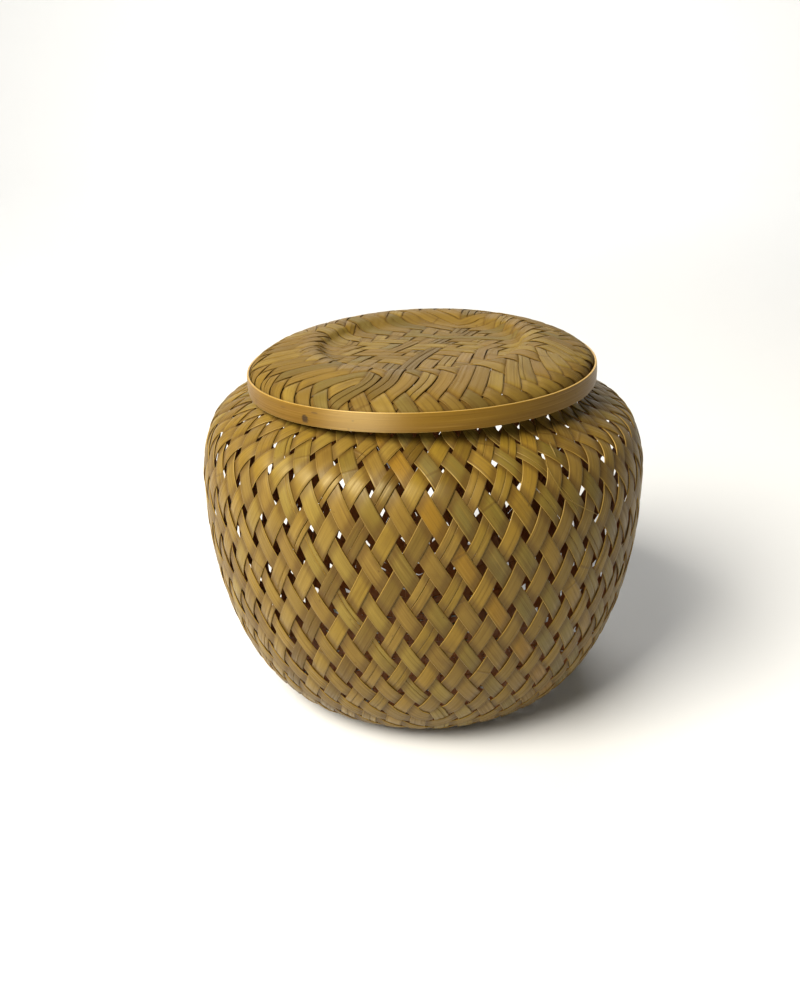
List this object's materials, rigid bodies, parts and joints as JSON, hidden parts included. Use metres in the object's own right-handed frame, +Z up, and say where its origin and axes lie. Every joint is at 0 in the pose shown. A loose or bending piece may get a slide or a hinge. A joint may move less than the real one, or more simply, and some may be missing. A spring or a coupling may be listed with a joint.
{
  "type": "lidded bamboo basket box",
  "caption": "Round box plaited from split bamboo in an open bias weave, with a hooped collar and a lift-off plaited lid with a sunken centre.",
  "frame": {"origin": "middle of the base, on the surface that the box stands on", "axes": "+Z up through the lid, and -Y is the front of the picture; the body is round about Z"},
  "size_m": [0.2202, 0.2202, 0.1803],
  "materials": {
    "body_splints": "split bamboo skin, tan and yellow with browner and greener strips, dry satin",
    "rim_hoops": "split bamboo, dry satin",
    "lid_splints": "split bamboo, dull tan, aged",
    "lid_hoop": "bent bamboo strip, honey yellow, polished by handling"
  },
  "bodies": {
    "box_body": {"warp_splint_01": "body_splints", "warp_splint_02": "body_splints", "warp_splint_03": "body_splints", "warp_splint_04": "body_splints", "warp_splint_05": "body_splints", "warp_splint_06": "body_splints", "warp_splint_07": "body_splints", "warp_splint_08": "body_splints", "warp_splint_09": "body_splints", "warp_splint_10": "body_splints", "warp_splint_11": "body_splints", "warp_splint_12": "body_splints", "warp_splint_13": "body_splints", "warp_splint_14": "body_splints", "warp_splint_15": "body_splints", "warp_splint_16": "body_splints", "warp_splint_17": "body_splints", "warp_splint_18": "body_splints", "warp_splint_19": "body_splints", "warp_splint_20": "body_splints", "warp_splint_21": "body_splints", "warp_splint_22": "body_splints", "warp_splint_23": "body_splints", "warp_splint_24": "body_splints", "warp_splint_25": "body_splints", "warp_splint_26": "body_splints", "weft_splint_01": "body_splints", "weft_splint_02": "body_splints", "weft_splint_03": "body_splints", "weft_splint_04": "body_splints", "weft_splint_05": "body_splints", "weft_splint_06": "body_splints", "weft_splint_07": "body_splints", "weft_splint_08": "body_splints", "weft_splint_09": "body_splints", "weft_splint_10": "body_splints", "weft_splint_11": "body_splints", "weft_splint_12": "body_splints", "weft_splint_13": "body_splints", "weft_splint_14": "body_splints", "weft_splint_15": "body_splints", "weft_splint_16": "body_splints", "weft_splint_17": "body_splints", "weft_splint_18": "body_splints", "weft_splint_19": "body_splints", "weft_splint_20": "body_splints", "weft_splint_21": "body_splints", "weft_splint_22": "body_splints", "weft_splint_23": "body_splints", "weft_splint_24": "body_splints", "weft_splint_25": "body_splints", "weft_splint_26": "body_splints", "rim_inner_hoop": "rim_hoops", "rim_outer_hoop": "rim_hoops"},
    "lid": {"lid_plait": "lid_splints", "lid_outer_hoop": "lid_hoop", "lid_inner_hoop": "lid_hoop"}
  },
  "joints": [
    {"name": "lid_lift", "type": "slide", "parent": "box_body", "child": "lid", "axis": [0, 0, 1], "range_m": [0, 0.1]}
  ]
}
